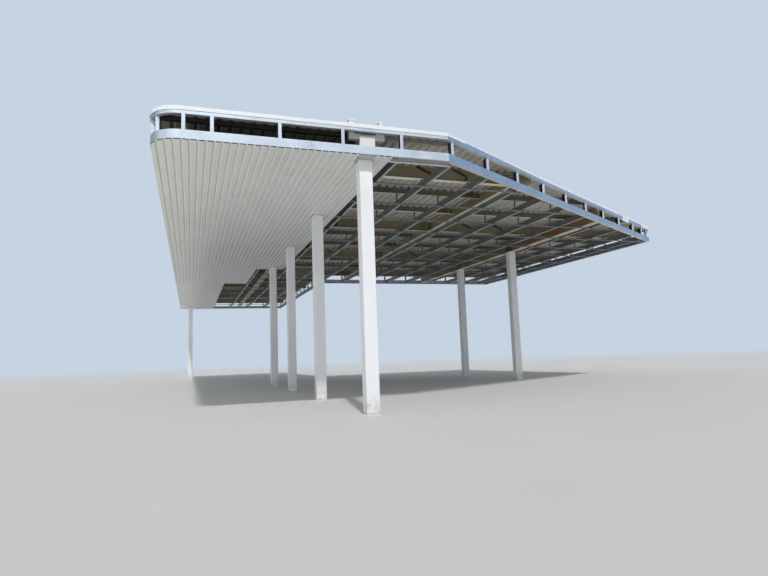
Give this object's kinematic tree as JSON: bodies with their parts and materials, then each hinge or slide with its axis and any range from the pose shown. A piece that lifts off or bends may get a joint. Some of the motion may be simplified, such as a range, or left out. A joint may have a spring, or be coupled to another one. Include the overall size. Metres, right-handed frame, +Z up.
{
  "type": "filling station canopy",
  "caption": "Filling station canopy on square columns, with a slanted front edge, ribbed roof deck, open fascia frame and partly clad ceiling",
  "frame": {"origin": "centre of the plan's bounding box at the feet of the columns", "axes": "+X along the front edge to the right, +Y from the front edge towards the narrow tail, +Z up"},
  "size_m": [19.004, 37.124, 6.436],
  "materials": {
    "column_paint": "white powder coat, satin, dusty near the foot",
    "beam_paint": "cream primer, matt, with rust-brown touched-up patches",
    "deck_steel": "beige-grey coil coating, matt",
    "galvanised": "galvanised, faint spangle",
    "hanger_steel": "dull galvanised angle",
    "ceiling_paint": "off-white coil coating, satin",
    "coping_paint": "white coil coating, satin"
  },
  "bodies": {
    "root": {"left_column_1": "column_paint", "left_column_2": "column_paint", "left_column_3": "column_paint", "left_column_4": "column_paint", "right_column_1": "column_paint", "right_column_2": "column_paint", "tail_column_left": "column_paint", "tail_column_right": "column_paint", "left_main_beam": "beam_paint", "right_main_beam": "beam_paint", "middle_beam": "beam_paint", "cross_beams": "beam_paint", "tail_cross_beams": "beam_paint", "purlins": "beam_paint", "tail_purlins": "beam_paint", "column_head_arms": "beam_paint", "eave_channel": "beam_paint", "roof_stub_posts": "coping_paint", "roof_deck": "deck_steel", "tail_roof_deck": "deck_steel", "long_runners": "galvanised", "short_runners": "galvanised", "ceiling_carriers": "galvanised", "tail_ceiling_carriers": "galvanised", "runner_hangers": "hanger_steel", "ceiling_sheets_1": "ceiling_paint", "ceiling_sheets_2": "ceiling_paint", "ceiling_sheets_3": "ceiling_paint", "ceiling_sheets_4": "ceiling_paint", "ceiling_sheets_5": "ceiling_paint", "ceiling_sheets_6": "ceiling_paint", "ceiling_sheets_7": "ceiling_paint", "fascia_front": "galvanised", "fascia_slant": "galvanised", "fascia_right": "galvanised", "fascia_back": "galvanised", "fascia_inner": "galvanised", "fascia_far": "galvanised", "fascia_left": "galvanised", "fascia_near_corner": "galvanised", "fascia_far_corner": "galvanised", "coping_front": "coping_paint", "coping_left": "coping_paint", "coping_far": "coping_paint", "coping_pieces": "coping_paint"}
  },
  "joints": []
}
